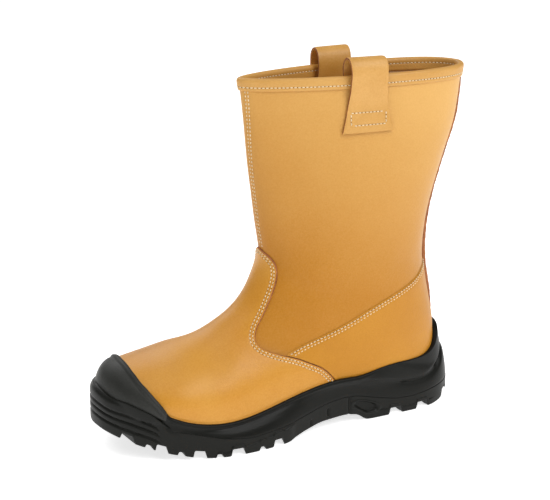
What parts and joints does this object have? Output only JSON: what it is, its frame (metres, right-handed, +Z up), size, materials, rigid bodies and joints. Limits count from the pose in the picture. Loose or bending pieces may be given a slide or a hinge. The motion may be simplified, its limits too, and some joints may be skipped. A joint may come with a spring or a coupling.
{
  "type": "leather rigger boot",
  "caption": "Left pull-on rigger work boot: hollow tan leather leg and vamp with bound collar and pull loops, on a moulded black rubber sole with scuff toe cap and lugged tread.",
  "frame": {"origin": "on the floor under the middle of the heel", "axes": "+X towards the toe, +Y towards the wearer's left (the lateral side), +Z up"},
  "size_m": [0.3172, 0.1093, 0.2935],
  "materials": {
    "tan_leather": "smooth full-grain, satin",
    "vamp_leather": "smooth full-grain, satin sheen",
    "counter_leather": "smooth full-grain, satin",
    "binding_leather": "folded smooth leather band",
    "strap_leather": "smooth leather with raw cut edges",
    "raw_leather_edge": "raw cut edge",
    "tread_rubber": "moulded, matt",
    "rand_rubber": "moulded, satin",
    "insole_board": "matt footbed"
  },
  "bodies": {
    "root": {"upper": "tan_leather", "vamp": "vamp_leather", "counter_lateral": "counter_leather", "counter_medial": "counter_leather", "back_welt": "raw_leather_edge", "collar_binding": "binding_leather", "pull_loop_lateral": "strap_leather", "pull_loop_medial": "strap_leather", "midsole": "rand_rubber", "outsole": "tread_rubber", "insole": "insole_board"}
  },
  "joints": []
}
